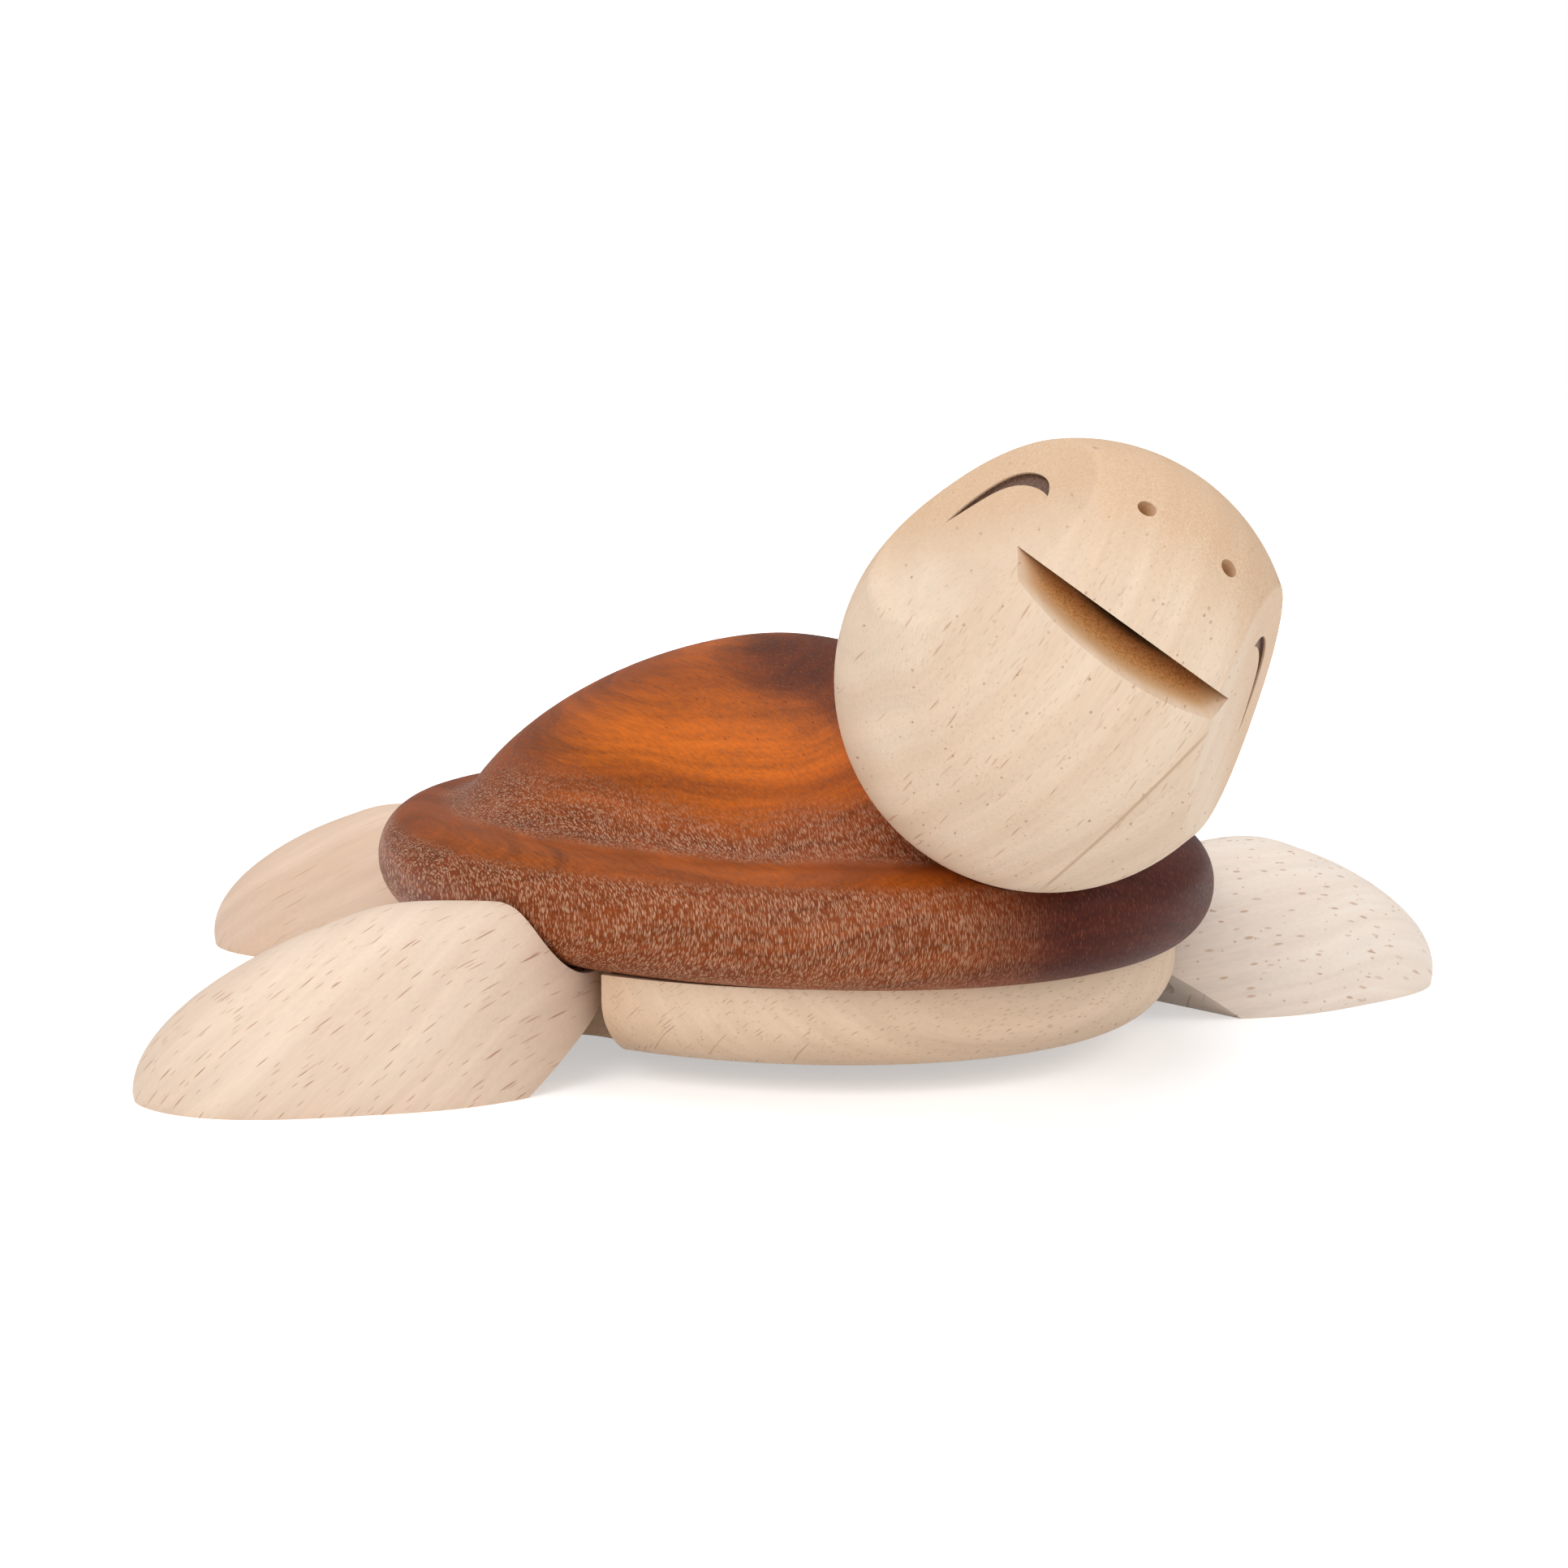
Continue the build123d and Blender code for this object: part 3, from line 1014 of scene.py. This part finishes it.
@dataclass
class Head:
    """The ball head, which is tilted about its neck."""

    groups: WoodGroups
    tilt: float = -42.6
    centre: Vector = field(init=False)
    snout: Vector = field(init=False)

    def __post_init__(self) -> None:
        """Read the neck's place and direction from the frame."""
        neck = next(joint for joint in frame["joints"] if joint["name"] == "head_turn")
        self.centre = Vector(neck["pos_m"])
        self.snout = Vector(neck["axis"]).normalized()

    def dress(self) -> None:
        """Dress the head in face wood that follows its tilt."""
        turn = Matrix.Rotation(math.radians(self.tilt), 3, self.snout)
        left = turn @ Vector((1.0, 0.0, 0.0))
        crown = self.snout.cross(left)
        lower_ball = Reach(tuple(-crown), 2.0, 14.0, 10.0)
        wood = FaceWood(
            name="face_wood",
            grain=(0.51, -0.27, 0.82),
            facing=(-0.45, -0.87, 0.0),
            centre=tuple(self.centre),
            pith=(86.0, 12.0),
            early=srgb("F3DBC1"),
            late=srgb("E2BE9C"),
            cloud=srgb("EACCAF"),
            ring_spacing=6.4,
            waviness=10.0,
            ring_strength=0.5,
            cloud_strength=0.5,
            fibre_strength=0.2,
            streak_strength=0.28,
            pores=(
                Pores((0.8, 9.0, 7.5), 0.14, 0.4, srgb("B98A60"), 0.65, Layout.FACE, lower_ball),
                Pores((1.1, 9.0, 1.3), 0.16, 0.14, srgb("A9764C"), 0.7, Layout.FACE),
                Pores((0.28, 0.28, 1.6), 0.4, 0.6, srgb("CBA27C"), 0.42),
            ),
            snout=tuple(self.snout),
            left=tuple(left),
            crown=tuple(crown),
        )
        dress("head", wood.material(self.groups))


@dataclass
class Flippers:
    """The four flippers, each cut from its own blank."""

    groups: WoodGroups

    def wood(
        self, node: str, grain: Triple, facing: Triple, shades: tuple[Colour, ...], pores: tuple[Pores, ...]
    ) -> Wood:
        """Describe one flipper's blank.

        Args:
            node: The flipper's node.
            grain: The direction of the grain.
            facing: The direction of the blank's sawn face.
            shades: The early wood, the late wood and the clouds between them.
            pores: The pores that show on it.

        Returns:
            The wood.
        """
        early, late, cloud = shades
        return Wood(
            name=f"{node}_wood",
            grain=grain,
            facing=facing,
            centre=middle_of(node),
            pith=(74.0, 14.0),
            early=early,
            late=late,
            cloud=cloud,
            ring_spacing=6.0,
            waviness=9.0,
            ring_strength=0.4,
            cloud_strength=0.5,
            fibre_strength=0.2,
            streak_strength=0.28,
            pores=pores,
            roughness=(0.48, 0.6),
        )

    def dress(self) -> None:
        """Dress each flipper along its own grain."""
        brown, tan = srgb("A86842"), srgb("C4936C")
        cream = (srgb("F4DCC6"), srgb("E6C6AC"), srgb("ECCFB6"))
        # Painted light: a paler copy of the cream wood, standing for the top light on the front left
        # flipper's flat upper face.
        pale = (srgb("FFF0E2"), srgb("F6E0CE"), srgb("FAE7D6"))
        rosy = (srgb("F0D2BA"), srgb("DDB596"), srgb("E6C2A6"))
        dashes = (
            Pores((0.75, 9.0, 9.5), 0.14, 0.55, brown, 0.8, Layout.FACE),
            Pores((0.6, 9.0, 5.0), 0.14, 0.5, tan, 0.8, Layout.FACE),
        )
        dots = (
            Pores((1.2, 9.0, 4.2), 0.17, 0.5, tan, 0.75, Layout.FACE),
            Pores((1.0, 9.0, 1.4), 0.17, 0.18, brown, 0.5, Layout.FACE),
        )
        streaks = (Pores((1.0, 9.0, 20.0), 0.13, 0.5, tan, 0.5, Layout.FACE),)
        blanks = {
            "flipper_front_right": ((0.71, -0.25, 0.66), (-0.44, -0.8, 0.4), cream, dashes),
            # This flipper's paler shades are painted light from the top lamp, not a different wood.
            "flipper_front_left": ((0.88, -0.44, 0.16), (-0.3, -0.8, 0.5), pale, dots),
            "flipper_rear_right": ((0.7, -0.5, 0.42), (-0.5, -0.6, 0.6), rosy, streaks),
            "flipper_rear_left": ((-0.7, -0.5, 0.42), (0.5, -0.6, 0.6), rosy, streaks),
        }
        for node, blank in blanks.items():
            dress(node, self.wood(node, *blank).material(self.groups))


@dataclass
class Hardware:
    """The pivot screws and washers under the rim."""

    steel: PlainFinish = PlainFinish("zinc_plate", srgb("C9CCCE"), srgb("A4A8AB"), 1.0, (0.28, 0.42), 3.0)
    fibre: PlainFinish = PlainFinish("red_fibre", srgb("6E3A28"), srgb("54291C"), 0.0, (0.6, 0.75), 4.0)

    def dress(self) -> None:
        """Dress every screw and washer."""
        steel = self.steel.material()
        fibre = self.fibre.material()
        for node in frame["nodes"]:
            if node.startswith("pivot_screw"):
                dress(node, steel)
            elif node.startswith("pivot_washer"):
                dress(node, fibre)


@dataclass(frozen=True)
class Lamp:
    """A square softbox: its place and side in metres, and its power in watts."""

    name: str
    place: Triple
    side: float
    power: float


@dataclass
class Studio:
    """A white floor, soft lamps and the camera, in metres and degrees."""

    floor_reach: float = 6.0
    floor_grey: float = 0.86
    floor_roughness: float = 0.9
    shadow_reach: float = 0.16
    near_white: float = 0.46
    world_strength: float = 0.42
    lamps: tuple[Lamp, ...] = (
        Lamp("left_softbox", (-0.75, -0.55, 0.75), 0.7, 4.1),
        Lamp("right_softbox", (0.75, -0.6, 0.55), 0.7, 2.0),
        Lamp("front_softbox", (-0.45, -0.95, 0.2), 0.7, 1.8),
        Lamp("top_softbox", (0.0, 0.25, 1.0), 0.9, 3.8),
    )
    lamp_aim: Triple = (0.0, 0.0, 0.03)
    turn: float = -27.555
    lift: float = 9.347
    distance: float = 0.450
    aim_height: float = 0.015
    shift_right: float = -0.000041
    shift_up: float = 0.016342
    forward_shift: float = 0.00025
    focal_pixels: float = 4043.25
    image_pixels: float = 1932.0
    sensor: float = 36.0
    clip_start: float = 0.01

    def floor(self) -> None:
        """Lay a white floor that keeps the figure's shadow."""
        shape = bmesh.new()
        bmesh.ops.create_grid(shape, x_segments=1, y_segments=1, size=self.floor_reach)
        mesh = bpy.data.meshes.new("studio_floor")
        shape.to_mesh(mesh)
        shape.free()
        sheet = bpy.data.objects.new("studio_floor", mesh)
        bpy.context.scene.collection.objects.link(sheet)
        made, tree, shader = new_material("white_paper")
        shader.inputs["Base Color"].default_value = (*[self.floor_grey] * 3, 1.0)
        shader.inputs["Roughness"].default_value = self.floor_roughness
        shader.inputs["Specular IOR Level"].default_value = 0.0
        path = tree.node("LightPath")
        seen = tree.sum("MAXIMUM", path.outputs["Is Camera Ray"], path.outputs["Is Glossy Ray"])
        away = tree.length(tree.node("TexCoord").outputs["Object"])
        lift = tree.span(away, self.shadow_reach, 2 * self.shadow_reach, self.near_white, 1.0)
        shader.inputs["Emission Color"].default_value = WHITE
        tree.feed(shader.inputs["Emission Strength"], tree.sum("MULTIPLY", seen, lift))
        mesh.materials.append(made)

    def world(self) -> None:
        """Light the scene softly from all round and show white behind it."""
        world = bpy.data.worlds.new("soft_white")
        bpy.context.scene.world = world
        world.use_nodes = True
        tree = Tree(world.node_tree)
        path = tree.node("LightPath")
        seen = tree.sum("MAXIMUM", path.outputs["Is Camera Ray"], path.outputs["Is Transmission Ray"])
        back = world.node_tree.nodes["Background"]
        back.inputs["Color"].default_value = WHITE
        tree.feed(back.inputs["Strength"], tree.span(seen, 0.0, 1.0, self.world_strength, 1.0))

    def hang(self, lamp: Lamp) -> None:
        """Hang a lamp that points at the figure.

        Args:
            lamp: The lamp.
        """
        light = bpy.data.lights.new(lamp.name, "AREA")
        light.size = lamp.side
        light.energy = lamp.power
        hung = bpy.data.objects.new(lamp.name, light)
        bpy.context.scene.collection.objects.link(hung)
        hung.location = lamp.place
        ahead = Vector(self.lamp_aim) - Vector(lamp.place)
        hung.rotation_euler = ahead.to_track_quat("-Z", "Y").to_euler()

    def camera(self) -> None:
        """Stand the camera where the photograph was taken from."""
        turn, lift = math.radians(self.turn), math.radians(self.lift)
        back = Vector((math.sin(turn) * math.cos(lift), -math.cos(turn) * math.cos(lift), math.sin(lift)))
        right = Vector((math.cos(turn), math.sin(turn), 0.0))
        up = back.cross(right)
        base = Vector((0.0, self.forward_shift, self.aim_height))
        place = base + back * self.distance
        aim = base + right * self.shift_right + up * self.shift_up
        lens = bpy.data.cameras.new("photo_camera")
        lens.sensor_width = self.sensor
        lens.lens = self.sensor * self.focal_pixels / self.image_pixels
        lens.clip_start = self.clip_start
        camera = bpy.data.objects.new("photo_camera", lens)
        bpy.context.scene.collection.objects.link(camera)
        camera.location = place
        camera.rotation_euler = (aim - place).to_track_quat("-Z", "Y").to_euler()
        bpy.context.scene.camera = camera

    def build(self) -> None:
        """Set up the whole studio."""
        self.floor()
        self.world()
        for lamp in self.lamps:
            self.hang(lamp)
        self.camera()
        bpy.context.scene.view_settings.view_transform = "Standard"


def main() -> None:
    """Dress the figure and set up the studio."""
    logging.basicConfig(level=logging.INFO, format="%(name)s: %(message)s")
    groups = WoodGroups()
    Shell(groups).dress()
    Head(groups).dress()
    Flippers(groups).dress()
    Hardware().dress()
    Studio().build()


if __name__ == "__main__":
    main()
